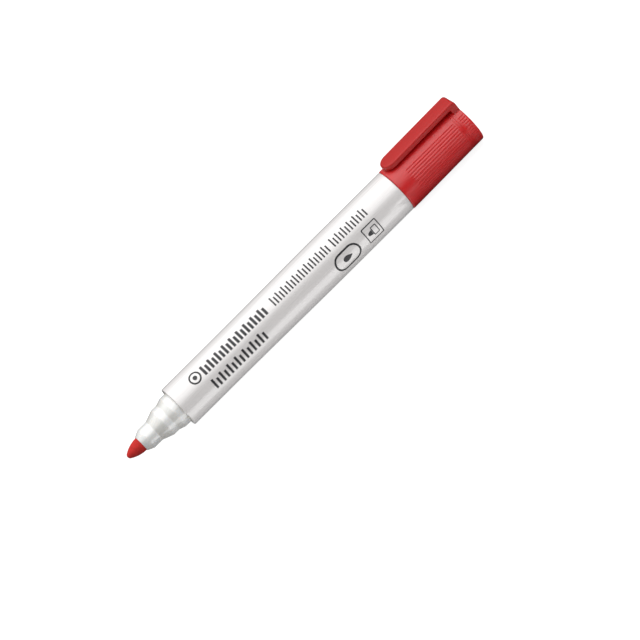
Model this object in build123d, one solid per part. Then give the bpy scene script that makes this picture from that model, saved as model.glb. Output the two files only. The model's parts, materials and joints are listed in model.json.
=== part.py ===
from build123d import *
import os
from math import atan2, degrees

# Whiteboard marker lying along X: the nib points to -X, and the cap is pushed onto the rear end, at +X,
# with its pocket clip up. Sizes are in millimetres.
# Each piece is modelled on the X axis, at stations counted from the nib's tip, and moved into place when
# it is written: the origin is under the middle of the pen's length, on the surface that the pen lies on.

# Nib: a rounded felt rod
NIB_RADIUS = 2.5
NIB_LENGTH = 36.0
NIB_OUT = 5.9                   # how far it stands out of its holder
NIB_POINT_ROUND = 1.1           # radius of the writing point
NIB_CHAMFER = 0.6

# Nose of the nib holder: where each ring and cone starts, from the nib back to the barrel
LIP_RADIUS = 2.8
FRONT_RING_RADIUS = 3.78
MIDDLE_RING_RADIUS = 5.13
SEAT_RADIUS = 5.86              # the ring that the cap's ribs grip; the end plug's spigot has the same radius
FRONT_RING = (8.1, 11.5)
MIDDLE_RING = (15.2, 17.4)
SEAT_START = 19.6

# Nib holder inside the barrel
SHOULDER_RECESS = 0.15          # how deep the holder's shoulder sits in the barrel's mouth
COLLAR_END = 32.0
HOLDER_BORE_END = 16.5          # the nib's snug bore opens into the collar's cavity here
CAVITY_RADIUS = 4.7
CAVITY_START = 21.5
HOLDER_FIN_START = 17.5
HOLDER_FIN_END = 30.0
FIN_THICKNESS = 0.8

# Barrel: a tube with a slight taper towards the nib
BARREL_FRONT = 22.0
BARREL_REAR = 117.7
BARREL_FRONT_RADIUS = 7.45
BARREL_RADIUS = 7.75
TAPER = (40.0, 92.0)            # where the taper starts and ends
BORE_RADIUS = 6.45
BARREL_EDGE_ROUND = 0.3
SNAP_HEIGHT = 0.15              # snap beads of the holder and the plug, and the barrel's grooves for them
SNAP_HALF_BASE = 0.6
SNAP_HALF_CREST = 0.25
HOLDER_SNAP = 27.5
PLUG_SNAP = 112.5
RESERVOIR_RIB_TIP = 5.65
RESERVOIR_RIB_SPAN = (34.0, 106.0)
RIB_ROOTING = 0.15              # how far ribs and fins run into the wall that they stand on

# Ink reservoir: a fibre rod in a film sleeve
RESERVOIR_START = 32.2
RESERVOIR_END = 107.6
FIBRE_RADIUS = 5.45
SLEEVE_RADIUS = 5.6

# End plug: closes the barrel, and carries the cap while the pen is in use
PLUG_START = 107.8
SPIGOT_LENGTH = 10.0
PLUG_INNER_RADIUS = 4.8
PLUG_END_WALL = 1.2
SPIGOT_ROUND = 0.8

# Cap shell
CAP_GAP = 0.1                   # between the barrel's rear edge and the cap's mouth
CAP_LENGTH = 31.2
CAP_RADIUS = 7.86               # a little wider than the barrel: a lying pen rests on its cap
CAP_END_RADIUS = 7.52
CAP_DRAFT = (3.0, 30.0)         # depths from the mouth between which the cap narrows
CAP_BORE_RADIUS = 6.5
CAP_END_WALL = 1.5
CAP_END_ROUND = 1.0
CAP_MOUTH_ROUND = 0.3
GRIP_RIB_COUNT = 8
GRIP_RIB_TIP = 5.91
GRIP_RIB_SPAN = (0.8, 10.0)
GRIP_RIB_THICKNESS = 1.0
SOCKET_DEPTH = 19.5             # the ring that holds the liner starts at this depth
SOCKET_RADIUS = 4.7
SOCKET_OUTER_RADIUS = 5.5

# Grooves on the cap's outside
GROOVE_PITCH = 7.2              # degrees
GROOVE_FIRST = 43.2             # degrees from the clip
GROOVE_WIDTH = 0.42
GROOVE_DEPTH = 0.2
LONG_GROOVES = (5.4, 26.4)      # depths from the mouth
SHORT_GROOVES = (28.2, 30.7)
RING_LINES = (26.9, 27.6)       # two fine lines round the cap, between the long and the short grooves
RING_LINE_WIDTH = 0.24
RING_LINE_DEPTH = 0.12

# Cap liner: the inner cup that seals round the nose's front ring
LINER_LIP_DEPTH = 11.0
LINER_FLOOR_DEPTH = 25.5
LINER_INNER_RADIUS = 3.83
LINER_RADIUS = 4.65
LINER_WALL = 0.8
LINER_COLLAR_RADIUS = 5.2
LINER_LEAD_IN = 0.4
LINER_END_GAP = 0.1

# Pocket clip
CLIP_WIDTH = 6.8
CLIP_THICKNESS = 1.8
CLIP_TOP = 10.5                 # from the pen's axis to the clip's outer face, at the root
CLIP_TIP_DEPTH = 1.1            # the clip ends this far behind the cap's mouth
CLIP_SLOPE = 1.0                # degrees: the tip is a little nearer to the cap than the root
CLIP_EDGE_ROUND = 0.35
BRIDGE_THICKNESS = 2.6          # the wall at the cap's closed end that carries the clip
BRIDGE_ROOT = 6.53
BRIDGE_CORNER_ROUND = 0.6
FLEX_DEPTH = 26.3               # the clip bends about this line
FLEX_CLEARANCE = 0.06

# Stations and sizes that follow from the above
SPIGOT_END = BARREL_REAR + SPIGOT_LENGTH
CAP_MOUTH = BARREL_REAR + CAP_GAP
CAP_END = CAP_MOUTH + CAP_LENGTH
LENGTH = CAP_END
CLIP_MIDDLE = CLIP_TOP - CLIP_THICKNESS / 2
PLACE = Pos(-LENGTH / 2, 0, CAP_RADIUS)


def turned(*corners):
    """Solid turned about the X axis, from an outline of (station, radius) corners."""
    return revolve(make_face(Polyline(*corners, close=True)), Axis.X)


def tube(start, end, inner, outer):
    """Plain ring between two stations and two radii."""
    return turned((start, inner), (end, inner), (end, outer), (start, outer))


def fan(angles, start, end, inner, outer, thickness):
    """Flat radial blades between two stations, one at each angle from +Z towards -Y, in degrees."""
    middle = Pos((start + end) / 2, 0, (inner + outer) / 2)
    blade = middle * Box(end - start, thickness, outer - inner)
    return Part() + [Rot(angle, 0, 0) * blade for angle in angles]


def evenly(count):
    """Angles of count blades, evenly spaced round the pen."""
    return [index * 360 / count for index in range(count)]


def rounded(part, radius, *rings):
    """The part with its circular edges at the given (station, radius) places rounded."""
    edges = [
        edge
        for edge in part.edges().filter_by(GeomType.CIRCLE)
        for station, ring_radius in rings
        if abs(edge.arc_center.X - station) < 0.01 and abs(edge.radius - ring_radius) < 0.01
    ]
    return fillet(edges, radius)


def snap_bead(station):
    """Corners of a low bead on the bore's radius, which the barrel's groove repeats."""
    return [
        (station - SNAP_HALF_BASE, BORE_RADIUS),
        (station - SNAP_HALF_CREST, BORE_RADIUS + SNAP_HEIGHT),
        (station + SNAP_HALF_CREST, BORE_RADIUS + SNAP_HEIGHT),
        (station + SNAP_HALF_BASE, BORE_RADIUS),
    ]


def nib():
    """Felt rod with a rounded point: a small arc that runs into a long curved flank."""
    flank_radius = (NIB_OUT**2 - 2 * NIB_OUT * NIB_POINT_ROUND + NIB_RADIUS**2) / (
        2 * (NIB_RADIUS - NIB_POINT_ROUND)
    )
    flank_centre = (NIB_OUT, NIB_RADIUS - flank_radius)
    meeting_angle = degrees(atan2(flank_radius - NIB_RADIUS, NIB_POINT_ROUND - NIB_OUT))
    point = CenterArc((NIB_POINT_ROUND, 0), NIB_POINT_ROUND, 180, meeting_angle - 180)
    flank = CenterArc(flank_centre, flank_radius, meeting_angle, 90 - meeting_angle)
    shank = Polyline(
        flank @ 1,
        (NIB_LENGTH - NIB_CHAMFER, NIB_RADIUS),
        (NIB_LENGTH, NIB_RADIUS - NIB_CHAMFER),
        (NIB_LENGTH, 0),
        point @ 0,
    )
    return revolve(make_face(point + flank + shank), Axis.X)


def nib_holder():
    """Stepped nose with a hollow collar behind it, which is pressed into the barrel."""
    shoulder = BARREL_FRONT + SHOULDER_RECESS
    holder = turned(
        (NIB_OUT, NIB_RADIUS),
        (NIB_OUT, LIP_RADIUS),
        (FRONT_RING[0], FRONT_RING_RADIUS),
        (FRONT_RING[1], FRONT_RING_RADIUS),
        (MIDDLE_RING[0], MIDDLE_RING_RADIUS),
        (MIDDLE_RING[1], MIDDLE_RING_RADIUS),
        (SEAT_START, SEAT_RADIUS),
        (shoulder, SEAT_RADIUS),
        (shoulder, BORE_RADIUS),
        *snap_bead(HOLDER_SNAP),
        (COLLAR_END, BORE_RADIUS),
        (COLLAR_END, CAVITY_RADIUS),
        (CAVITY_START, CAVITY_RADIUS),
        (HOLDER_BORE_END, NIB_RADIUS),
    )
    fin_root = CAVITY_RADIUS + RIB_ROOTING
    fins = fan(evenly(4), HOLDER_FIN_START, HOLDER_FIN_END, NIB_RADIUS, fin_root, FIN_THICKNESS)
    return holder + fins


def barrel():
    """Open tube with a groove for each snap bead and four ribs that centre the reservoir."""
    tube_wall = turned(
        (BARREL_FRONT, BORE_RADIUS),
        (BARREL_FRONT, BARREL_FRONT_RADIUS),
        (TAPER[0], BARREL_FRONT_RADIUS),
        (TAPER[1], BARREL_RADIUS),
        (BARREL_REAR, BARREL_RADIUS),
        (BARREL_REAR, BORE_RADIUS),
        *reversed(snap_bead(PLUG_SNAP)),
        *reversed(snap_bead(HOLDER_SNAP)),
    )
    edges = (BARREL_FRONT, BARREL_FRONT_RADIUS), (BARREL_REAR, BARREL_RADIUS)
    tube_wall = rounded(tube_wall, BARREL_EDGE_ROUND, *edges)
    rib_root = BORE_RADIUS + RIB_ROOTING
    return tube_wall + fan(evenly(4), *RESERVOIR_RIB_SPAN, RESERVOIR_RIB_TIP, rib_root, FIN_THICKNESS)


def ink_reservoir():
    """Fibre rod with the pocket that the nib's rear end is pushed into."""
    rod = turned(
        (RESERVOIR_START, 0),
        (RESERVOIR_END, 0),
        (RESERVOIR_END, FIBRE_RADIUS),
        (RESERVOIR_START, FIBRE_RADIUS),
    )
    return rod - nib()


def reservoir_sleeve():
    """Thin film that wraps the fibre rod."""
    return tube(RESERVOIR_START, RESERVOIR_END, FIBRE_RADIUS, SLEEVE_RADIUS)


def end_plug():
    """Cup pressed into the barrel's rear end, with a spigot that the cap is pushed onto."""
    floor = SPIGOT_END - PLUG_END_WALL
    plug = turned(
        (PLUG_START, PLUG_INNER_RADIUS),
        (PLUG_START, BORE_RADIUS),
        *snap_bead(PLUG_SNAP),
        (BARREL_REAR, BORE_RADIUS),
        (BARREL_REAR, SEAT_RADIUS),
        (SPIGOT_END, SEAT_RADIUS),
        (SPIGOT_END, 0),
        (floor, 0),
        (floor, PLUG_INNER_RADIUS),
    )
    return rounded(plug, SPIGOT_ROUND, (SPIGOT_END, SEAT_RADIUS))


def cap_liner():
    """Inner cup of the cap, with a collar that stops it against its socket."""
    lip = CAP_MOUTH + LINER_LIP_DEPTH
    floor = CAP_MOUTH + LINER_FLOOR_DEPTH
    end = CAP_END - CAP_END_WALL - LINER_END_GAP
    collar_end = CAP_MOUTH + SOCKET_DEPTH - LINER_END_GAP
    collar_start = collar_end - LINER_WALL
    skirt_inner = LINER_RADIUS - LINER_WALL
    return turned(
        (lip, LINER_INNER_RADIUS + LINER_LEAD_IN),
        (lip, LINER_RADIUS),
        (collar_start, LINER_RADIUS),
        (collar_start, LINER_COLLAR_RADIUS),
        (collar_end, LINER_COLLAR_RADIUS),
        (collar_end, LINER_RADIUS),
        (end, LINER_RADIUS),
        (end, skirt_inner),
        (floor + LINER_WALL, skirt_inner),
        (floor + LINER_WALL, 0),
        (floor, 0),
        (floor, LINER_INNER_RADIUS),
        (lip + LINER_LEAD_IN, LINER_INNER_RADIUS),
    )


def cap_radius(station):
    """Outer radius of the cap, which narrows a little towards its closed end."""
    depth = station - CAP_MOUTH
    share = (depth - CAP_DRAFT[0]) / (CAP_DRAFT[1] - CAP_DRAFT[0])
    return CAP_RADIUS + (CAP_END_RADIUS - CAP_RADIUS) * min(max(share, 0), 1)


def cap_skin(start_depth, end_depth, thickness):
    """Ring that reaches the given thickness into the cap's surface, and stands well out of it."""
    depths = [start_depth, *[d for d in CAP_DRAFT if start_depth < d < end_depth], end_depth]
    stations = [CAP_MOUTH + depth for depth in depths]
    floor = [(station, cap_radius(station) - thickness) for station in stations]
    return turned(*floor, (stations[-1], CLIP_TOP), (stations[0], CLIP_TOP))


def cap_grooves():
    """Fine grooves along the cap, all round it except under the clip."""
    count = round((360 - 2 * GROOVE_FIRST) / GROOVE_PITCH) + 1
    angles = [GROOVE_FIRST + index * GROOVE_PITCH for index in range(count)]
    blades = fan(angles, CAP_MOUTH, CAP_END, CAP_BORE_RADIUS, CLIP_TOP, GROOVE_WIDTH)
    bands = cap_skin(*LONG_GROOVES, GROOVE_DEPTH) + cap_skin(*SHORT_GROOVES, GROOVE_DEPTH)
    return blades & bands


def ring_lines():
    """The two fine lines round the cap."""
    half = RING_LINE_WIDTH / 2
    return Part() + [cap_skin(depth - half, depth + half, RING_LINE_DEPTH) for depth in RING_LINES]


def clip_bridge():
    """Wall at the cap's closed end that carries the clip, with the fixed stub of the clip's blade."""
    start = CAP_END - BRIDGE_THICKNESS
    flex = CAP_MOUTH + FLEX_DEPTH
    wall = Pos((start + CAP_END) / 2, 0, (BRIDGE_ROOT + CLIP_TOP) / 2)
    bridge = wall * Box(BRIDGE_THICKNESS, CLIP_WIDTH, CLIP_TOP - BRIDGE_ROOT)
    bridge += Pos((flex + CAP_END) / 2, 0, CLIP_MIDDLE) * Box(CAP_END - flex, CLIP_WIDTH, CLIP_THICKNESS)
    outer_corner = bridge.edges().filter_by(Axis.Y).group_by(Axis.Z)[-1].sort_by(Axis.X)[-1]
    bridge = fillet(outer_corner, BRIDGE_CORNER_ROUND)
    side_edges = bridge.faces().sort_by(Axis.Z)[-1].edges().filter_by(Axis.X)
    bridge = fillet(side_edges, CLIP_EDGE_ROUND)
    hollow_radius = CLIP_THICKNESS / 2 + FLEX_CLEARANCE
    hollow = Pos(flex, 0, CLIP_MIDDLE) * Rot(90, 0, 0) * Cylinder(hollow_radius, 2 * CLIP_WIDTH)
    return bridge - hollow


def cap_shell():
    """Outer moulding of the cap: grip ribs and the liner's socket inside, grooves and clip bridge outside."""
    outside = turned(
        (CAP_MOUTH, 0),
        *[(CAP_MOUTH + depth, cap_radius(CAP_MOUTH + depth)) for depth in (0, *CAP_DRAFT, CAP_LENGTH)],
        (CAP_END, 0),
    )
    outside = rounded(outside, CAP_END_ROUND, (CAP_END, CAP_END_RADIUS))
    outside = rounded(outside, CAP_MOUTH_ROUND, (CAP_MOUTH, CAP_RADIUS))
    bore_end = CAP_END - CAP_END_WALL
    bore_middle = Pos((CAP_MOUTH + bore_end) / 2, 0, 0)
    bore = bore_middle * Rot(0, 90, 0) * Cylinder(CAP_BORE_RADIUS, bore_end - CAP_MOUTH)
    shell = outside - bore - cap_grooves() - ring_lines()
    shell += tube(CAP_MOUTH + SOCKET_DEPTH, bore_end, SOCKET_RADIUS, SOCKET_OUTER_RADIUS)
    rib_start = CAP_MOUTH + GRIP_RIB_SPAN[0]
    rib_end = CAP_MOUTH + GRIP_RIB_SPAN[1]
    rib_root = CAP_BORE_RADIUS + RIB_ROOTING
    shell += fan(evenly(GRIP_RIB_COUNT), rib_start, rib_end, GRIP_RIB_TIP, rib_root, GRIP_RIB_THICKNESS)
    return shell + clip_bridge()


def pocket_clip():
    """Blade of the clip, with a round tip and a half-round root where it bends."""
    tip = CAP_MOUTH + CLIP_TIP_DEPTH
    reach = CAP_MOUTH + FLEX_DEPTH - tip
    round_tip = CLIP_WIDTH / 2
    plan = Pos(-(reach - round_tip) / 2, 0) * Rectangle(reach - round_tip, CLIP_WIDTH)
    plan += Pos(-(reach - round_tip), 0) * Circle(round_tip)
    blade = Pos(0, 0, -CLIP_THICKNESS / 2) * extrude(plan, CLIP_THICKNESS)
    outer_edges = blade.faces().sort_by(Axis.Z)[-1].edges() - blade.edges().group_by(Axis.X)[-1]
    blade = fillet(outer_edges, CLIP_EDGE_ROUND)
    root = Rot(90, 0, 0) * Cylinder(CLIP_THICKNESS / 2, CLIP_WIDTH)
    sloped = Rot(0, -CLIP_SLOPE, 0) * (blade + root)
    return Pos(CAP_MOUTH + FLEX_DEPTH, 0, CLIP_MIDDLE) * sloped


PIECES = {
    "nib": nib,
    "nib_holder": nib_holder,
    "barrel": barrel,
    "ink_reservoir": ink_reservoir,
    "reservoir_sleeve": reservoir_sleeve,
    "end_plug": end_plug,
    "cap_liner": cap_liner,
    "cap_shell": cap_shell,
    "pocket_clip": pocket_clip,
}

os.makedirs("parts", exist_ok=True)
for name, make in PIECES.items():
    export_step(PLACE * make(), f"parts/{name}.step")
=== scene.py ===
import json
from math import atan2, cos, degrees, pi, radians, sin, sqrt, tan

import bmesh
import bpy
from mathutils import Matrix, Vector


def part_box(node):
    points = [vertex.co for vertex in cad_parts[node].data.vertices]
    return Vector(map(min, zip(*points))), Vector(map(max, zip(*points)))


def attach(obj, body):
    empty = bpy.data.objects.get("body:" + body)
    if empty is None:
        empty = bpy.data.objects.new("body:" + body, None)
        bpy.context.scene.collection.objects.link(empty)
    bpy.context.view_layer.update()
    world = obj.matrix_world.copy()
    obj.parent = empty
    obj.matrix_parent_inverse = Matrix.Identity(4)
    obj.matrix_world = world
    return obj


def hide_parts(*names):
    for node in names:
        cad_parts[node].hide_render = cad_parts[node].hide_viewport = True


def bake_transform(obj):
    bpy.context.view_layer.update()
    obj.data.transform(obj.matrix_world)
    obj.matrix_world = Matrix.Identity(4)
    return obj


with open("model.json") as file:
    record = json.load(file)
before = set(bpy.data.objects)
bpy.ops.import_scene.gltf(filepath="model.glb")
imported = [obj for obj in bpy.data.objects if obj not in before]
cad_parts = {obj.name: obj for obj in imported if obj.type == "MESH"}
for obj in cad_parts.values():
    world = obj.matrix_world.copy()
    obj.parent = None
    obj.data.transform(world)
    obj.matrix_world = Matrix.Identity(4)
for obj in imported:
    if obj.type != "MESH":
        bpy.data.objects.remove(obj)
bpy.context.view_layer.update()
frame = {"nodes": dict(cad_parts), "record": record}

# Whiteboard marker: the looks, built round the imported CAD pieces.
# Sizes named here are millimetres; MM turns them into the scene's metres. A station is a distance
# along the pen from the nib's tip, and a depth is a distance from the cap's mouth towards its closed end.
MM = 0.001

TIP_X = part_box("nib")[0].x
AXIS_Z = (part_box("barrel")[0].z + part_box("barrel")[1].z) / 2


def station_of(x):
    """Station of a place along the frame's X axis."""
    return (x - TIP_X) / MM


BARREL_FRONT = station_of(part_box("barrel")[0].x)
BARREL_REAR = station_of(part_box("barrel")[1].x)
CAP_MOUTH = station_of(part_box("cap_shell")[0].x)
CAP_END = station_of(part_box("cap_shell")[1].x)
CLIP_TIP = station_of(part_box("pocket_clip")[0].x)
CLIP_JOINT = next(joint for joint in frame["record"]["behaviour"]["joints"] if joint["name"] == "clip_flex")
FLEX = station_of(CLIP_JOINT["pos_m"][0])
BARREL_RADIUS = (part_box("barrel")[1].z - AXIS_Z) / MM
CAP_RADIUS = (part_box("cap_shell")[1].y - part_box("cap_shell")[0].y) / 2 / MM
CLIP_TOP = (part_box("cap_shell")[1].z - AXIS_Z) / MM
CLIP_WIDTH = (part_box("pocket_clip")[1].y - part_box("pocket_clip")[0].y) / MM
NIB_RADIUS = (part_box("nib")[1].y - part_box("nib")[0].y) / 2 / MM
NIB_LENGTH = station_of(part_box("nib")[1].x)
NOSE_FRONT = station_of(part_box("nib_holder")[0].x)
COLLAR_END = station_of(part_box("nib_holder")[1].x)

# Sizes that the boxes don't give

# Nib and nose
NIB_POINT_ROUND = 1.1
NIB_CHAMFER = 0.6                # at its rear end
NIB_CLEARANCE = 0.02             # round the nib in its holder
LIP = (2.8, 0.12)                # the nose's front edge: radius and rounding
FRONT_RING = (8.1, 11.5)
FRONT_RING_RADIUS = 3.78
MIDDLE_RING = (15.2, 17.4)
MIDDLE_RING_RADIUS = 5.13
SEAT_START = 19.6
SEAT_RADIUS = 5.86
NOSE_ROUND = 0.25
SHOULDER_RECESS = 0.15           # how deep the holder's shoulder sits in the barrel's mouth
SHOULDER_ROUND = 0.05
COLLAR_CLEARANCE = 0.01          # round the collar in the barrel's bore
COLLAR_CAVITY_RADIUS = 4.7
COLLAR_CAVITY_START = 21.5
HOLDER_BORE_END = 16.5

# Barrel
BARREL_FRONT_RADIUS = 7.45
TAPER = (40.0, 92.0)
TAPER_STEPS = 26
STRAIGHT_CUTS = (30.0, 105.0)    # a cut in each straight stretch, before and behind the taper
BORE_RADIUS = 6.45
BARREL_EDGE_ROUND = 0.3

# Cap
CAP_END_RADIUS = 7.52
CAP_DRAFT = (3.0, 30.0)
CAP_BORE_RADIUS = 6.5
CAP_END_WALL = 1.5
CAP_MOUTH_ROUNDS = (0.35, 0.4)   # at the bore and at the outside
CAP_END_ROUND = 0.45
CAP_MOUTH_CUT = 1.0              # a cut across the smooth wall behind the mouth
CAP_END_CUT_RADIUS = 5.0         # a cut round the flat end
SOCKET_DEPTH = 19.5              # the ring that holds the liner starts here
SOCKET_RADIUS = 4.7
SOCKET_OUTER_RADIUS = 5.5
SOCKET_ROUND = 0.1
GROOVE_PITCH = 7.2               # degrees
GROOVE_FIRST = 43.2              # degrees from the clip
GROOVE_DEPTH = 0.16
GROOVE_HALF = 0.4                # half a groove's width, as a share of the pitch
GROOVE_CUTS = 10                 # facets for each groove and the land beside it
GROOVE_RUN = 0.35                # how far a groove takes to reach its depth at each end
LONG_GROOVES = (5.4, 26.4)       # depths of their ends
SHORT_GROOVES = (28.2, 30.7)
RING_LINES = (26.9, 27.6)
RING_LINE_DEPTH = 0.12
RING_LINE_HALVES = (0.14, 0.06)  # half widths at the wall and at the line's floor
GRIP_RIBS = 8
GRIP_RIB_HALF = 4.0              # degrees
GRIP_RIB_FLANK = 0.3             # how far a rib takes to reach its height, as a share of its half
GRIP_RIB_HEIGHT = 0.58
GRIP_RIB_SPAN = (0.8, 10.0)
GRIP_RIB_RUN = 0.6               # how far a rib takes to reach its height at each end

# Clip
CLIP_THICKNESS = 1.8
CLIP_SLOPE = radians(1.0)
CLIP_EDGE = 0.45
CLIP_LOWER_EDGE = 0.2
CLIP_INNER_ROUND = 0.7
CLIP_OUTER_ROUND = 1.2
CLIP_ROOT = 6.3
BRIDGE_THICKNESS = 2.6
BRIDGE_CUT = 0.9                 # a cut across the wall that carries the clip, below its inner rounding
CLIP_TIP_STEPS = 14

# Print
INK_HEIGHT = 0.02
INK_DEPTH = 0.06
INK_CUT = 0.3                    # widest flat facet across a mark
INK_RUN = 0.5                    # longest straight run along a mark

# The camera stands this many degrees round the pen from the clip, towards -Y, where the print faces it
PRINT_ANGLE = 58.5


# ---------- mesh building ----------

def round_place(station, angle, radius):
    """Point at a station, an angle from +Z towards -Y in degrees, and a radius, in metres."""
    turn = radians(angle)
    return Vector((TIP_X + station * MM, -radius * sin(turn) * MM, AXIS_Z + radius * cos(turn) * MM))


def piece_from(name, bm, material, smooth_angle=35):
    """Finished object from a bmesh: outward faces, smooth except at edges sharper than the angle."""
    bmesh.ops.recalc_face_normals(bm, faces=bm.faces)
    mesh = bpy.data.meshes.new(name)
    bm.to_mesh(mesh)
    bm.free()
    mesh.shade_smooth()
    mesh.set_sharp_from_angle(angle=radians(smooth_angle))
    mesh.materials.append(material)
    piece = bpy.data.objects.new(name, mesh)
    bpy.context.scene.collection.objects.link(piece)
    return piece


def soft_corners(corners, steps=5):
    """Outline with arcs: each corner is (station, radius) or (station, radius, rounding)."""
    outline = []
    for index, corner in enumerate(corners):
        here = Vector(corner[:2])
        if len(corner) == 2:
            outline.append(here)
            continue
        before = (Vector(corners[index - 1][:2]) - here).normalized()
        after = (Vector(corners[(index + 1) % len(corners)][:2]) - here).normalized()
        half = before.angle(after) / 2
        reach = corner[2] / tan(half)
        centre = here + (before + after).normalized() * corner[2] / sin(half)
        start, end = here + before * reach, here + after * reach
        for step in range(steps + 1):
            chord = start.lerp(end, step / steps)
            outline.append(centre + (chord - centre).normalized() * corner[2])
    return outline


def evenly(count):
    """Angles in degrees, evenly spaced round the pen."""
    return [360 * index / count for index in range(count)]


def lathe(name, outline, material, facets=192, relief=None, smooth_angle=35):
    """Closed surface turned about the pen's axis; relief(station, radius, angle) gives the radius to use."""
    angles = evenly(facets)
    bm = bmesh.new()
    rings = []
    for station, radius in outline:
        if radius == 0:
            rings.append([bm.verts.new(round_place(station, 0, 0))])
            continue
        radii = [relief(station, radius, angle) if relief else radius for angle in angles]
        rings.append([bm.verts.new(round_place(station, a, r)) for a, r in zip(angles, radii)])
    open_ended = len(rings[0]) == 1
    for ring, following in zip(rings, rings[1:] + ([] if open_ended else rings[:1])):
        for index in range(facets):
            after = (index + 1) % facets
            corners = [ring[index % len(ring)], ring[after % len(ring)]]
            corners += [following[after % len(following)], following[index % len(following)]]
            unique = list(dict.fromkeys(corners))
            if len(unique) > 2:
                bm.faces.new(unique)
    return piece_from(name, bm, material, smooth_angle)


# ---------- materials ----------

SKIN_GRAIN = 0.004               # depth of the plastic's grain
FIBRE_DEPTH = 0.03               # depth of the felt's strands
DRIFT_UNDER_PAINTED_SHADE = 0.2                 # share of the slow colour drift that a plastic with painted shade bands keeps
# Scales of the noises, per metre
DRIFT_SCALE = 60
STREAK_SCALE = 900
GRAIN_SCALE = 9000
PEEL_SCALE = 700
STRAND_SCALE = 12000
SOAK_SCALE = 700
PAD_SCALE = 2500
# How much painted shade the nose gets at each station: its rings are light, and its front lip, its cones and
# the strip by the barrel's rim are darker, painted shade where they turn from the light, together with the
# translucent wall's thick and thin places
NOSE_PAINTED_SHADE = (
    (NOSE_FRONT, 0.4), (8.4, 0.0), (11.3, 0.0), (11.9, 1.0), (14.6, 0.8), (15.4, 0.0),
    (17.2, 0.0), (17.8, 1.0), (19.2, 0.7), (19.9, 0.0), (BARREL_FRONT - 0.6, 0.0), (BARREL_FRONT, 0.8),
)


def node(tree, kind, inputs=None, **settings):
    """Adds a shader node, sets its properties, and fills or links its inputs by name or index."""
    made = tree.nodes.new(kind)
    for key, value in settings.items():
        setattr(made, key, value)
    for key, value in (inputs or {}).items():
        if isinstance(value, bpy.types.NodeSocket):
            tree.links.new(value, made.inputs[key])
        else:
            made.inputs[key].default_value = value
    return made


def new_material(name):
    """Material with only a Principled shader and its output."""
    material = bpy.data.materials.new(name)
    material.use_nodes = True
    return material, material.node_tree, material.node_tree.nodes["Principled BSDF"]


def stretched_noise(tree, scale, stretch=(1, 1, 1), detail=4.0):
    """Noise in the object's own space. The scale is per metre; stretch below 1 lengthens it along an axis."""
    place = node(tree, "ShaderNodeTexCoord").outputs["Object"]
    size = tuple(scale * share for share in stretch)
    mapped = node(tree, "ShaderNodeMapping", {"Vector": place, "Scale": size})
    noise = node(tree, "ShaderNodeTexNoise", {"Vector": mapped.outputs[0], "Scale": 1.0, "Detail": detail})
    return noise.outputs["Fac"]


def ranged(tree, value, low, high, start=0.3, end=0.7):
    """Value from start..end mapped onto low..high."""
    inputs = {"Value": value, "From Min": start, "From Max": end, "To Min": low, "To Max": high}
    return node(tree, "ShaderNodeMapRange", inputs).outputs["Result"]


def two_tone(tree, factor, first, second):
    """Colour between two colours."""
    mix = node(tree, "ShaderNodeMix", {"Factor": factor}, data_type="RGBA")
    mix.inputs["A"].default_value = (*first, 1)
    mix.inputs["B"].default_value = (*second, 1)
    return mix.outputs["Result"]


def bands_along(tree, stops):
    """Value that changes along the pen, from stops of (station, value)."""
    place = node(tree, "ShaderNodeTexCoord").outputs["Object"]
    x = node(tree, "ShaderNodeSeparateXYZ", {0: place}).outputs["X"]
    first, last = stops[0][0], stops[-1][0]
    share = ranged(tree, x, 0, 1, TIP_X + first * MM, TIP_X + last * MM)
    return grey_ramp(tree, share, [((station - first) / (last - first), value) for station, value in stops])


def grey_ramp(tree, share, stops):
    """Value at a share from 0 to 1, from stops of (share, value)."""
    ramp = node(tree, "ShaderNodeValToRGB", {"Fac": share})
    steps = ramp.color_ramp.elements
    for place, value in stops:
        steps.new(place).color = (value, value, value, 1)
    steps.remove(steps[0])
    steps.remove(steps[len(steps) - 1])
    return ramp.outputs["Color"]


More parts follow.
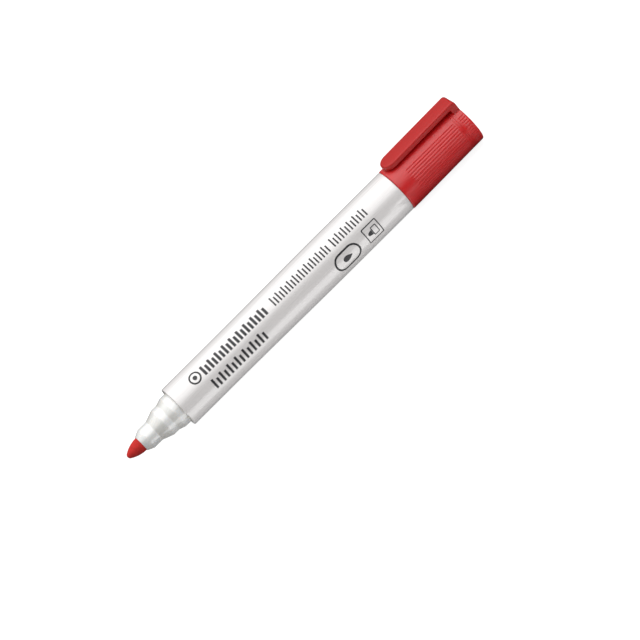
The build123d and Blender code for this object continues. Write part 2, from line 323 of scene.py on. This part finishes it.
def moulded_plastic(
    name, colour, shade, gloss, scatter=0.0, reach=(1.0, 0.9, 0.8), shine=0.5, lacquer=0.0, painted_shade_bands=None
):
    """Injection-moulded plastic: slow colour drift, flow streaks in the gloss, and a fine skin grain.
    Light travels inside it by the reach in millimetres, for red, green and blue. Painted shade bands are
    stops of (station, share) for how much of the shade colour is painted in: painted shade where the surface
    turns from the light, together with the wall's thick and thin places showing through."""
    material, tree, shader = new_material(name)
    factor = ranged(tree, stretched_noise(tree, DRIFT_SCALE, (0.4, 1, 1), 3), 0, 1)
    # Painted shade: stops along the pen darken the colour towards the shade colour
    if painted_shade_bands:
        faint = node(tree, "ShaderNodeMath", {0: factor, 1: DRIFT_UNDER_PAINTED_SHADE}, operation="MULTIPLY").outputs[0]
        painted_shade_share = bands_along(tree, painted_shade_bands)
        factor = node(tree, "ShaderNodeMath", {0: faint, 1: painted_shade_share}, operation="MAXIMUM").outputs[0]
    tree.links.new(two_tone(tree, factor, colour, shade), shader.inputs["Base Color"])
    streaks = stretched_noise(tree, STREAK_SCALE, (0.06, 1, 1), 5)
    tree.links.new(ranged(tree, streaks, gloss[0], gloss[1]), shader.inputs["Roughness"])
    grain = stretched_noise(tree, GRAIN_SCALE, (1, 1, 1), 2)
    peel = stretched_noise(tree, PEEL_SCALE, (0.5, 1, 1), 2)
    skin = node(tree, "ShaderNodeMath", {0: grain, 1: peel}, operation="ADD").outputs[0]
    bump = node(tree, "ShaderNodeBump", {"Height": skin, "Strength": 1.0, "Distance": SKIN_GRAIN * MM})
    tree.links.new(bump.outputs[0], shader.inputs["Normal"])
    if scatter:
        shader.inputs["Subsurface Weight"].default_value = scatter
        shader.inputs["Subsurface Radius"].default_value = reach
        shader.inputs["Subsurface Scale"].default_value = MM
    shader.inputs["Specular IOR Level"].default_value = shine
    if lacquer:
        shader.inputs["Coat Weight"].default_value = lacquer
        shader.inputs["Coat IOR"].default_value = 2.0
        shader.inputs["Coat Roughness"].default_value = 0.2
    return material


def felt(name, colour, shade):
    """Compressed fibre: strands along the pen, ink-soaked darker patches, and a soft fuzzy sheen."""
    material, tree, shader = new_material(name)
    strands = stretched_noise(tree, STRAND_SCALE, (0.12, 1, 1), 4)
    patches = stretched_noise(tree, SOAK_SCALE, (1, 1, 1), 4)
    blend = node(tree, "ShaderNodeMath", {0: strands, 1: patches}, operation="ADD").outputs[0]
    soaked = two_tone(tree, ranged(tree, blend, 0, 1, 0.75, 1.25), shade, colour)
    tree.links.new(soaked, shader.inputs["Base Color"])
    tree.links.new(ranged(tree, strands, 0.7, 0.95), shader.inputs["Roughness"])
    bump = node(tree, "ShaderNodeBump", {"Height": strands, "Strength": 1.0, "Distance": FIBRE_DEPTH * MM})
    tree.links.new(bump.outputs[0], shader.inputs["Normal"])
    shader.inputs["Sheen Weight"].default_value = 0.06
    shader.inputs["Sheen Roughness"].default_value = 0.5
    shader.inputs["Sheen Tint"].default_value = (1.0, 0.35, 0.3, 1)
    return material


def printed_ink(name):
    """Pad-printed ink: dark grey, a little uneven where the pad pressed less."""
    material, tree, shader = new_material(name)
    patches = stretched_noise(tree, PAD_SCALE, (1, 1, 1), 4)
    colour = two_tone(tree, ranged(tree, patches, 0, 1), (0.022, 0.022, 0.025), (0.045, 0.045, 0.05))
    tree.links.new(colour, shader.inputs["Base Color"])
    tree.links.new(ranged(tree, patches, 0.35, 0.5), shader.inputs["Roughness"])
    return material


WHITE_BARREL = moulded_plastic(
    "white_barrel_plastic", (0.905, 0.875, 0.865), (0.88, 0.85, 0.842), (0.22, 0.32),
    shine=0.8, lacquer=1.0
)
# The nose's shade colour is also painted shade on its cones, front lip and the strip by the barrel's rim
NOSE_PLASTIC = moulded_plastic(
    "translucent_nose_plastic", (0.97, 0.97, 0.95), (0.78, 0.77, 0.735), (0.2, 0.3),
    scatter=0.3, shine=1.0, lacquer=1.0, painted_shade_bands=NOSE_PAINTED_SHADE
)
RED_CAP = moulded_plastic(
    "red_cap_plastic", (0.70, 0.014, 0.016), (0.66, 0.011, 0.013), (0.34, 0.44),
    scatter=0.5, reach=(3.0, 0.3, 0.3), shine=0.8
)
# The clip's red is a darker copy of the cap's red, though both are one moulding: painted shade that dims the
# clip where it faces the soft box
RED_CLIP_PAINTED_SHADE = moulded_plastic(
    "red_clip_plastic_painted_shade", (0.51, 0.008, 0.007), (0.49, 0.008, 0.006), (0.34, 0.44),
    scatter=0.5, reach=(2.0, 0.2, 0.2)
)
LINER_PLASTIC = moulded_plastic("liner_plastic", (0.80, 0.80, 0.78), (0.75, 0.75, 0.73), (0.35, 0.5))
SLEEVE_FILM = moulded_plastic("sleeve_film", (0.75, 0.77, 0.80), (0.70, 0.72, 0.76), (0.15, 0.25))
NIB_FELT = felt("red_nib_felt", (0.70, 0.022, 0.016), (0.48, 0.013, 0.009))
FIBRE = felt("ink_fibre", (0.40, 0.020, 0.018), (0.22, 0.008, 0.008))
PRINT_INK = printed_ink("print_ink")


# ---------- camera, light and floor ----------

SOFT_BOX = 2.0                   # brightness of the long box overhead
# Angles from overhead, towards -Y if positive, and the brightness there as a share of the soft box's
SKY_LEVELS = (
    (-88, 0.12), (-56, 0.18), (-34, 0.62), (-16, 1.0), (8, 1.0),
    (26, 0.93), (46, 0.74), (64, 0.05), (88, 0.0),
)
SKY_ENDS = (0.35, 0.8)           # leans along the pen at which the box starts to dim, and stops
SKY_END_LEVEL = 0.4
# Greys of the surfaces under the pen, and what the floor sends to the camera
FLOOR_GREY = 0.3
FLOOR_GLOW = 0.9
TABLE_GREY = 0.12
TABLE_DEPTH = 0.1                # below the cards
# White cards on the table, as ranges of Y in metres, and their brightness
CARD_START = 7.4                 # station where the bright card starts; it ends at the cap's mouth
CARD_REACH = (-0.027, -0.0105)
CARD_GLOW = 1.3
DIM_REACH = (-0.0105, 0.012)     # under the pen
DIM_GLOW = 0.35
CAP_GLOW = 0.8                   # in front of the cap
CLIP_REACH = (-0.045, -0.027)    # further out, for the clip's side
CLIP_GLOW = 1.8
# Where cards, table and backdrop end, in metres
CARD_FAR = 0.15
TABLE_HALF = 4.0
BACKDROP_RADIUS = 4.5


def aim_camera():
    """Camera at the viewing angle: nib nearer than cap, pen rising to the right, clip at the upper left."""
    tilt = radians(5.9)              # the pen's axis leans this much away from the camera
    rise = radians(44.85)            # the pen's slope in the picture
    distance = 1350.0
    picture = 640                    # pixels across
    scale = 0.31                     # millimetres of the pen per pixel
    aim_station = 72.3               # the picture's middle: a place along the pen, and one beside its axis
    aim_beside = 11.8
    round_clip = radians(PRINT_ANGLE)
    side = Vector((0, -sin(round_clip), cos(round_clip)))
    along = Vector((1, 0, 0))
    back = side * cos(tilt) - along * sin(tilt)
    slope = (along - back * along.dot(back)).normalized()
    across = slope.cross(back)
    right = slope * cos(rise) + across * sin(rise)
    up = slope * sin(rise) - across * cos(rise)
    target = round_place(aim_station, 0, 0) + across * aim_beside * MM
    camera = bpy.data.objects.new("camera", bpy.data.cameras.new("camera"))
    camera.data.sensor_width = 36.0
    camera.data.lens = distance / scale / picture * camera.data.sensor_width
    camera.data.clip_start = 0.05
    camera.data.clip_end = 20
    camera.matrix_world = Matrix((right, up, back)).transposed().to_4x4()
    camera.location = target + back * distance * MM
    bpy.context.scene.collection.objects.link(camera)
    bpy.context.scene.camera = camera


def sky():
    """Studio surroundings: a long soft box overhead, dark walls, and a dim wall behind the pen."""
    world = bpy.data.worlds.new("studio")
    bpy.context.scene.world = world
    world.use_nodes = True
    tree = world.node_tree
    direction = node(tree, "ShaderNodeTexCoord").outputs["Generated"]
    axes = node(tree, "ShaderNodeSeparateXYZ", {0: direction})
    front = node(tree, "ShaderNodeMath", {0: axes.outputs["Y"], 1: -1.0}, operation="MULTIPLY").outputs[0]
    turn = node(tree, "ShaderNodeMath", {0: front, 1: axes.outputs["Z"]}, operation="ARCTAN2").outputs[0]
    place = ranged(tree, turn, 0, 1, -pi / 2, pi / 2)
    level = grey_ramp(tree, place, [(angle / 180 + 0.5, value) for angle, value in SKY_LEVELS])
    lean = node(tree, "ShaderNodeMath", {0: axes.outputs["X"]}, operation="ABSOLUTE").outputs[0]
    strength = ranged(tree, lean, SOFT_BOX, SKY_END_LEVEL * SOFT_BOX, *SKY_ENDS)
    background = tree.nodes["Background"]
    tree.links.new(level, background.inputs["Color"])
    tree.links.new(strength, background.inputs["Strength"])


def stage_surface(name, mesh, colour, glow, seen_by):
    """Part of the studio, with the kinds of rays that see it: the camera's, or those that light the pen."""
    material, tree, shader = new_material(name)
    shader.inputs["Base Color"].default_value = (colour, colour, colour, 1)
    shader.inputs["Roughness"].default_value = 0.9
    shader.inputs["Specular IOR Level"].default_value = 0.0
    shader.inputs["Emission Color"].default_value = (1, 1, 1, 1)
    shader.inputs["Emission Strength"].default_value = glow
    mesh.materials.append(material)
    surface = bpy.data.objects.new(name, mesh)
    for ray in ("camera", "diffuse", "glossy", "transmission", "shadow", "volume_scatter"):
        setattr(surface, f"visible_{ray}", ray in seen_by)
    bpy.context.scene.collection.objects.link(surface)


def flat_mesh(name, x_range, y_range, z):
    """Rectangle facing up."""
    mesh = bpy.data.meshes.new(name)
    corners = [(x, y, z) for x in x_range for y in y_range]
    mesh.from_pydata(corners, [], [(0, 2, 3, 1)])
    return mesh


def dome_mesh(name, radius):
    """Large sphere round the whole scene."""
    mesh = bpy.data.meshes.new(name)
    bm = bmesh.new()
    bmesh.ops.create_uvsphere(bm, u_segments=32, v_segments=16, radius=radius)
    bm.to_mesh(mesh)
    bm.free()
    return mesh


def floor():
    """Pale floor and backdrop for the camera; for the pen, a grey table with white cards on it."""
    wide = (-TABLE_HALF, TABLE_HALF)
    lit = ("diffuse", "glossy", "transmission")
    stage_surface("floor", flat_mesh("floor", wide, wide, 0), FLOOR_GREY, FLOOR_GLOW, ("camera",))
    stage_surface("backdrop", dome_mesh("backdrop", BACKDROP_RADIUS), 0.0, 1.0, ("camera",))
    stage_surface("table", flat_mesh("table", wide, wide, -TABLE_DEPTH * MM), TABLE_GREY, 0.0, lit)
    start, end = TIP_X + CARD_START * MM, TIP_X + CAP_MOUTH * MM
    cards = {
        "card": ((start, end), CARD_REACH, CARD_GLOW, lit),
        "dim_card": ((-CARD_FAR, end), DIM_REACH, DIM_GLOW, lit),
        "cap_card": ((end, CARD_FAR), CARD_REACH, CAP_GLOW, ("diffuse",)),
        "clip_card": ((end, CARD_FAR), CLIP_REACH, CLIP_GLOW, lit),
    }
    for name, (length, reach, glow, seen_by) in cards.items():
        stage_surface(name, flat_mesh(name, length, reach, 0), 0.0, glow, seen_by)


aim_camera()
sky()
floor()
bpy.context.scene.view_settings.view_transform = "Standard"


# ---------- pieces ----------

def make_nib():
    """Felt nib: a small rounded point that runs into a long curved flank, and the shank in its holder."""
    flank = (NOSE_FRONT**2 - 2 * NOSE_FRONT * NIB_POINT_ROUND + NIB_RADIUS**2) / (
        2 * (NIB_RADIUS - NIB_POINT_ROUND)
    )
    meeting = atan2(flank - NIB_RADIUS, NIB_POINT_ROUND - NOSE_FRONT)
    outline = [(0.0, 0.0)]
    point_steps, flank_steps = 12, 28
    for step in range(1, point_steps + 1):
        turn = pi + (meeting - pi) * step / point_steps
        outline.append((NIB_POINT_ROUND * (1 + cos(turn)), NIB_POINT_ROUND * sin(turn)))
    for step in range(1, flank_steps + 1):
        turn = meeting + (pi / 2 - meeting) * step / flank_steps
        outline.append((NOSE_FRONT + flank * cos(turn), NIB_RADIUS - flank + flank * sin(turn)))
    outline += [(NIB_LENGTH - NIB_CHAMFER, NIB_RADIUS), (NIB_LENGTH, NIB_RADIUS - NIB_CHAMFER)]
    outline.append((NIB_LENGTH, 0.0))
    nib = lathe("felt_nib", outline, NIB_FELT, 96)
    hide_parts("nib")
    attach(nib, "barrel")


def make_nose():
    """Stepped nose of the nib holder, and its collar inside the barrel."""
    shoulder = BARREL_FRONT + SHOULDER_RECESS
    hole_radius = NIB_RADIUS + NIB_CLEARANCE
    collar_radius = BORE_RADIUS - COLLAR_CLEARANCE
    corners = [
        (NOSE_FRONT, hole_radius),
        (NOSE_FRONT, *LIP),
        (FRONT_RING[0], FRONT_RING_RADIUS, NOSE_ROUND),
        (FRONT_RING[1], FRONT_RING_RADIUS, NOSE_ROUND),
        (MIDDLE_RING[0], MIDDLE_RING_RADIUS, NOSE_ROUND),
        (MIDDLE_RING[1], MIDDLE_RING_RADIUS, NOSE_ROUND),
        (SEAT_START, SEAT_RADIUS, NOSE_ROUND),
        (shoulder, SEAT_RADIUS),
        (shoulder, collar_radius, SHOULDER_ROUND),
        (COLLAR_END, collar_radius),
        (COLLAR_END, COLLAR_CAVITY_RADIUS),
        (COLLAR_CAVITY_START, COLLAR_CAVITY_RADIUS),
        (HOLDER_BORE_END, hole_radius),
    ]
    nose = lathe("stepped_nose", soft_corners(corners), NOSE_PLASTIC)
    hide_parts("nib_holder")
    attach(nose, "barrel")


def barrel_radius(station):
    """Outer radius of the barrel: an easy taper between two straight stretches."""
    share = min(max((station - TAPER[0]) / (TAPER[1] - TAPER[0]), 0), 1)
    return BARREL_FRONT_RADIUS + (BARREL_RADIUS - BARREL_FRONT_RADIUS) * share * share * (3 - 2 * share)


def make_barrel():
    """Barrel tube with rounded rims."""
    taper = [TAPER[0] + (TAPER[1] - TAPER[0]) * step / TAPER_STEPS for step in range(TAPER_STEPS + 1)]
    corners = [
        (BARREL_FRONT, BORE_RADIUS),
        (BARREL_FRONT, BARREL_FRONT_RADIUS, BARREL_EDGE_ROUND),
        (STRAIGHT_CUTS[0], BARREL_FRONT_RADIUS),
        *[(station, barrel_radius(station)) for station in taper],
        (STRAIGHT_CUTS[1], BARREL_RADIUS),
        (BARREL_REAR, BARREL_RADIUS, BARREL_EDGE_ROUND),
        (BARREL_REAR, BORE_RADIUS),
    ]
    barrel = lathe("barrel_tube", soft_corners(corners), WHITE_BARREL)
    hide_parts("barrel")
    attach(barrel, "barrel")


# ---------- cap ----------

def cap_radius(depth):
    """Outer radius of the cap, which narrows a little towards its closed end."""
    share = min(max((depth - CAP_DRAFT[0]) / (CAP_DRAFT[1] - CAP_DRAFT[0]), 0), 1)
    return CAP_RADIUS + (CAP_END_RADIUS - CAP_RADIUS) * share


def ramp_share(value, start, end, run):
    """0 outside start..end and 1 inside it, with a ramp at each end."""
    return min(max((value - start) / run, 0), max((end - value) / run, 0), 1)


def groove_share(angle):
    """Depth of the groove profile at an angle round the cap, from 0 on a land to 1 on a groove's floor."""
    off_clip = abs((angle + 180) % 360 - 180)
    if off_clip < GROOVE_FIRST - GROOVE_PITCH / 2:
        return 0
    off_groove = abs((off_clip - GROOVE_FIRST + GROOVE_PITCH / 2) % GROOVE_PITCH - GROOVE_PITCH / 2)
    return (1 + cos(pi * min(off_groove / GROOVE_PITCH / GROOVE_HALF, 1))) / 2


def cap_relief(station, radius, angle):
    """Radius of the cap's outside, with its grooves, and of its bore, with its grip ribs."""
    depth = station - CAP_MOUTH
    on_outside = radius > (CAP_BORE_RADIUS + CAP_END_RADIUS) / 2
    if on_outside:
        long_share = ramp_share(depth, *LONG_GROOVES, GROOVE_RUN)
        short_share = ramp_share(depth, *SHORT_GROOVES, GROOVE_RUN)
        return radius - GROOVE_DEPTH * groove_share(angle) * max(long_share, short_share)
    on_bore = radius > (SOCKET_OUTER_RADIUS + CAP_BORE_RADIUS) / 2
    off_rib = abs((angle + 180 / GRIP_RIBS) % (360 / GRIP_RIBS) - 180 / GRIP_RIBS)
    rib_share = ramp_share(off_rib, -GRIP_RIB_HALF, GRIP_RIB_HALF, GRIP_RIB_FLANK * GRIP_RIB_HALF)
    along_share = ramp_share(depth, *GRIP_RIB_SPAN, GRIP_RIB_RUN)
    return radius - GRIP_RIB_HEIGHT * on_bore * rib_share * along_share


def ring_line(depth):
    """Corners of one of the fine lines round the cap."""
    wall = cap_radius(depth)
    half, floor_half = RING_LINE_HALVES
    return [
        (CAP_MOUTH + depth - half, wall),
        (CAP_MOUTH + depth - floor_half, wall - RING_LINE_DEPTH),
        (CAP_MOUTH + depth + floor_half, wall - RING_LINE_DEPTH),
        (CAP_MOUTH + depth + half, wall),
    ]


def make_cap():
    """Cap shell: grooved outside, rounded mouth and end, grip ribs and the liner's socket inside."""
    def on_wall(depth):
        return (CAP_MOUTH + depth, cap_radius(depth))

    def with_ramps(span, run):
        start, end = span
        return [start, start + run / 2, start + run], [end - run, end - run / 2, end]

    bore_end = CAP_END - CAP_END_WALL
    socket = CAP_MOUTH + SOCKET_DEPTH
    rib_start, rib_end = with_ramps(GRIP_RIB_SPAN, GRIP_RIB_RUN)
    long_start, long_end = with_ramps(LONG_GROOVES, GROOVE_RUN)
    short_start, short_end = with_ramps(SHORT_GROOVES, GROOVE_RUN)
    every_millimetre = range(1, int(LONG_GROOVES[1] - LONG_GROOVES[0]))
    long_middle = [LONG_GROOVES[0] + step for step in every_millimetre]
    corners = [
        (bore_end, 0),
        (bore_end, SOCKET_RADIUS),
        (socket, SOCKET_RADIUS, SOCKET_ROUND),
        (socket, SOCKET_OUTER_RADIUS, SOCKET_ROUND),
        (bore_end, SOCKET_OUTER_RADIUS),
        (bore_end, CAP_BORE_RADIUS),
        *[(CAP_MOUTH + depth, CAP_BORE_RADIUS) for depth in reversed(rib_start + rib_end)],
        (CAP_MOUTH, CAP_BORE_RADIUS, CAP_MOUTH_ROUNDS[0]),
        (CAP_MOUTH, CAP_RADIUS, CAP_MOUTH_ROUNDS[1]),
        on_wall(CAP_MOUTH_CUT),
        on_wall(CAP_DRAFT[0]),
        *[on_wall(depth) for depth in long_start + long_middle + long_end],
        *ring_line(RING_LINES[0]),
        *ring_line(RING_LINES[1]),
        *[on_wall(depth) for depth in short_start + short_end],
        (CAP_END, CAP_END_RADIUS, CAP_END_ROUND),
        (CAP_END, CAP_END_CUT_RADIUS),
        (CAP_END, 0),
    ]
    facets = round(360 / GROOVE_PITCH * GROOVE_CUTS)
    cap = lathe("ribbed_cap", soft_corners(corners), RED_CAP, facets, cap_relief, 40)
    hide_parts("cap_shell")
    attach(cap, "cap")


# ---------- clip ----------

def clip_profile():
    """Outer and inner outlines of the clip as (station, height), from its straight part to its root."""
    def sag(station):
        return max(FLEX - station, 0) * tan(CLIP_SLOPE)

    outer_centre = Vector((CAP_END - CLIP_OUTER_ROUND, CLIP_TOP - CLIP_OUTER_ROUND))
    inner_face = CLIP_TOP - CLIP_THICKNESS
    inner_centre = Vector((CAP_END - BRIDGE_THICKNESS - CLIP_INNER_ROUND, inner_face - CLIP_INNER_ROUND))
    begin, straight_end = CLIP_TIP + CLIP_WIDTH / 2, inner_centre.x - CLIP_INNER_ROUND
    outer, inner = [], []
    straight_steps = 22
    for step in range(straight_steps + 1):
        station = begin + (straight_end - begin) * step / straight_steps
        outer.append((station, CLIP_TOP - sag(station)))
        inner.append((station, inner_face - sag(station)))
    bend_steps = 8
    for step in range(bend_steps + 1):
        turn = pi / 2 * (1 - step / bend_steps)
        ahead = Vector((cos(turn), sin(turn)))
        outer.append(outer_centre + ahead * CLIP_OUTER_ROUND)
        inner.append(inner_centre + ahead * CLIP_INNER_ROUND)
    for height in (inner_centre.y - BRIDGE_CUT, CLIP_ROOT):
        outer.append((CAP_END, height))
        inner.append((CAP_END - BRIDGE_THICKNESS, height))
    return outer, inner


def clip_layers(half_width):
    """Layers through the clip's thickness as (from the outer face?, depth below that face, half width)."""
    def quarter(steps):
        return [pi / 2 * step / steps for step in range(steps + 1)]

    upper = [(True, CLIP_EDGE * (1 - cos(turn)), half_width - CLIP_EDGE * (1 - sin(turn)))
             for turn in quarter(4)]
    lower = [(False, CLIP_LOWER_EDGE * (1 - sin(turn)), half_width - CLIP_LOWER_EDGE * (1 - cos(turn)))
             for turn in quarter(3)]
    return upper + lower


def make_clip():
    """Clip and the wall that carries it, as one moulding: a round-edged bar, bent down at the cap's end."""
    outer, inner = clip_profile()
    bm = bmesh.new()
    grid = []
    for index in range(-CLIP_TIP_STEPS, len(outer)):
        row = []
        for from_outer, sunk, reach in clip_layers(CLIP_WIDTH / 2):
            swing = max(-index / CLIP_TIP_STEPS, 0) * pi / 2
            top, under = Vector(outer[max(index, 0)]), Vector(inner[max(index, 0)])
            through = (under - top).normalized()
            spot = top + through * sunk if from_outer else under - through * sunk
            back = reach * sin(swing)
            station, height = spot.x - back, spot.y - back * tan(CLIP_SLOPE)
            aside = reach * cos(swing)
            sides = (1, -1) if index > -CLIP_TIP_STEPS else (0,)
            middle = round_place(station, 0, height)
            row.append([bm.verts.new(middle + Vector((0, side * aside * MM, 0))) for side in sides])
        grid.append(row)

    def face(*corners):
        unique = list(dict.fromkeys(corners))
        if len(unique) > 2:
            bm.faces.new(unique)

    for row, following in zip(grid, grid[1:]):
        for layer in range(len(row) - 1):
            deeper = layer + 1
            for side in (0, -1):
                face(row[layer][side], row[deeper][side], following[deeper][side], following[layer][side])
        for layer in (0, -1):
            face(row[layer][0], row[layer][-1], following[layer][-1], following[layer][0])
    for layer in range(len(grid[-1]) - 1):
        upper, lower = grid[-1][layer], grid[-1][layer + 1]
        face(upper[0], upper[-1], lower[-1], lower[0])
    # The clip gets the darker red with painted shade
    clip = piece_from("clip_with_bridge", bm, RED_CLIP_PAINTED_SHADE, 50)
    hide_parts("pocket_clip")
    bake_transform(clip)


# ---------- print ----------

# Places on the print are (station, arc): arc runs round the barrel from the middle of the print.
RING_MIDDLE = (31.55, -2.75)
RING_RADIUS = 1.85
RING_INK = 0.55                  # widths of the lines end in INK
DOT_RADIUS = 0.75
# Rows of ticks, from bold to fine: stations, arcs, pitch, and width of a tick
TICK_ROWS = (
    ((34.5, 61.8), (-4.3, -0.85), 1.52, 0.92),
    ((34.3, 56.6), (1.25, 4.9), 1.62, 0.8),
    ((64.8, 89.1), (-4.3, -0.9), 1.24, 0.54),
    ((90.8, 105.3), (-4.3, -0.9), 1.24, 0.54),
)
TICK_CUT = 0.22                  # share of its length that every second tick lacks
# Pill with a drop of ink
PILL_MIDDLE = (91.6, 4.5)
PILL_SIZE = (9.6, 5.7)
PILL_ROUND = 2.8
PILL_INK = 0.62
DROP_LENGTH = 3.6
DROP_BREADTH = 2.6
# Square with a bullet nib in its holder
SQUARE_MIDDLE = (102.8, 4.1)
SQUARE_SIZE = (5.7, 5.7)
SQUARE_ROUND = 0.25
SQUARE_INK = 0.34
BULLET_START = 2.0
BULLET_LENGTH = 1.7
BULLET_HALF = 0.85
HOLDER_BEHIND = 0.85             # from the square's middle to the holder's
HOLDER_SIZE = (1.9, 2.9)
HOLDER_ROUND = 0.2
HOLDER_INK = 0.3


def on_barrel(spot, lift):
    """Point above the barrel's surface, for a (station, arc) place."""
    wall = barrel_radius(spot[0])
    return round_place(spot[0], PRINT_ANGLE + degrees(spot[1] / wall), wall + lift)


def ink_strip(bm, path, width, closed=False):
    """Thin raised line of ink on the barrel. The path holds (station, arc) places, where arc runs round the
    barrel from the middle of the print. The width is one number, or a list with one for each place."""
    count = len(path)
    widths = width if isinstance(width, list) else [width] * count
    cuts = max(round(max(widths) / INK_CUT), 1)
    shares = [0.5 - cut / cuts for cut in range(cuts + 1)]
    section = [(share, INK_HEIGHT) for share in shares] + [(share, -INK_DEPTH) for share in reversed(shares)]
    rails = []
    for index, here in enumerate(path):
        before = path[index - 1] if index or closed else here
        after = path[(index + 1) % count] if index < count - 1 or closed else here
        ahead = (Vector(after) - Vector(before)).normalized()
        beside = Vector((-ahead.y, ahead.x)) * widths[index]
        places = [on_barrel(Vector(here) + beside * share, lift) for share, lift in section]
        rails.append([bm.verts.new(place) for place in places])
    for index in range(count if closed else count - 1):
        near, far = rails[index], rails[(index + 1) % count]
        for corner in range(len(section)):
            after = (corner + 1) % len(section)
            bm.faces.new((near[corner], near[after], far[after], far[corner]))
    if not closed:
        for end in (rails[0], rails[-1]):
            for corner in range(cuts):
                bm.faces.new((end[corner], end[corner + 1], end[-corner - 2], end[-corner - 1]))


def arc_points(centre, radius, start, end, steps):
    """Places on an arc, from one angle to another in degrees."""
    turns = [radians(start + (end - start) * step / steps) for step in range(steps + 1)]
    return [(centre[0] + radius * cos(turn), centre[1] + radius * sin(turn)) for turn in turns]


def subdivided(path):
    """Path with its long runs divided, so that it bends with the barrel."""
    result = [path[0]]
    for here, after in zip(path, path[1:]):
        here, after = Vector(here), Vector(after)
        runs = max(round((after - here).length / INK_RUN), 1)
        result += [tuple(here.lerp(after, step / runs)) for step in range(1, runs + 1)]
    return result


def tick_row(bm, span, arcs, pitch, width):
    """Row of upright ticks between two stations; every second one is shorter, as on a scale."""
    count = round((span[1] - span[0] - width) / pitch)
    step = (span[1] - span[0] - width) / count
    for index in range(count + 1):
        station = span[0] + width / 2 + index * step
        low = arcs[0] + (arcs[1] - arcs[0]) * TICK_CUT * (index % 2)
        ink_strip(bm, subdivided([(station, low), (station, arcs[1])]), width)


def frame_mark(bm, middle, size, rounding, line):
    """Outline of a rectangle with rounded corners."""
    half = (size[0] / 2 - rounding, size[1] / 2 - rounding)
    path = []
    for quarter, (sx, sy) in enumerate(((1, 1), (-1, 1), (-1, -1), (1, -1))):
        centre = (middle[0] + sx * half[0], middle[1] + sy * half[1])
        path += arc_points(centre, rounding, 90 * quarter, 90 * quarter + 90, 10)
    ink_strip(bm, subdivided(path + path[:1])[:-1], line, closed=True)


def solid_mark(bm, middle, start, length, half_width_at):
    """Mark filled with ink, along the pen, from this far before the middle. half_width_at gives its half
    width at shares of its length from 0 to 1."""
    steps = 24
    shares = [(1 - cos(pi * step / steps)) / 2 for step in range(1, steps)]
    path = [(middle[0] - start + length * share, middle[1]) for share in shares]
    ink_strip(bm, path, [2 * half_width_at(share) for share in shares])


def make_print():
    """Generic print in place of words: a ring with a dot, rows of ticks, and two pictograms."""
    bm = bmesh.new()
    ink_strip(bm, arc_points(RING_MIDDLE, RING_RADIUS, 0, 360, 48)[:-1], RING_INK, closed=True)
    solid_mark(bm, RING_MIDDLE, DOT_RADIUS, 2 * DOT_RADIUS,
               lambda share: 2 * DOT_RADIUS * sqrt(share * (1 - share)))
    for span, arcs, pitch, width in TICK_ROWS:
        tick_row(bm, span, arcs, pitch, width)
    frame_mark(bm, PILL_MIDDLE, PILL_SIZE, PILL_ROUND, PILL_INK)
    solid_mark(bm, PILL_MIDDLE, DROP_LENGTH / 2, DROP_LENGTH,
               lambda share: DROP_BREADTH * sqrt(share) * (1 - share))
    frame_mark(bm, SQUARE_MIDDLE, SQUARE_SIZE, SQUARE_ROUND, SQUARE_INK)
    solid_mark(bm, SQUARE_MIDDLE, BULLET_START, BULLET_LENGTH,
               lambda share: BULLET_HALF * sqrt(share * (2 - share)))
    holder_middle = (SQUARE_MIDDLE[0] + HOLDER_BEHIND, SQUARE_MIDDLE[1])
    frame_mark(bm, holder_middle, HOLDER_SIZE, HOLDER_ROUND, HOLDER_INK)
    marks = piece_from("print_marks", bm, PRINT_INK, 40)
    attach(marks, "barrel")


make_nib()
make_nose()
make_barrel()
make_cap()
make_clip()
make_print()

for name, material in {
    "ink_reservoir": FIBRE,
    "reservoir_sleeve": SLEEVE_FILM,
    "end_plug": RED_CAP,
    "cap_liner": LINER_PLASTIC,
}.items():
    mesh = frame["nodes"][name].data
    mesh.materials.clear()
    mesh.materials.append(material)
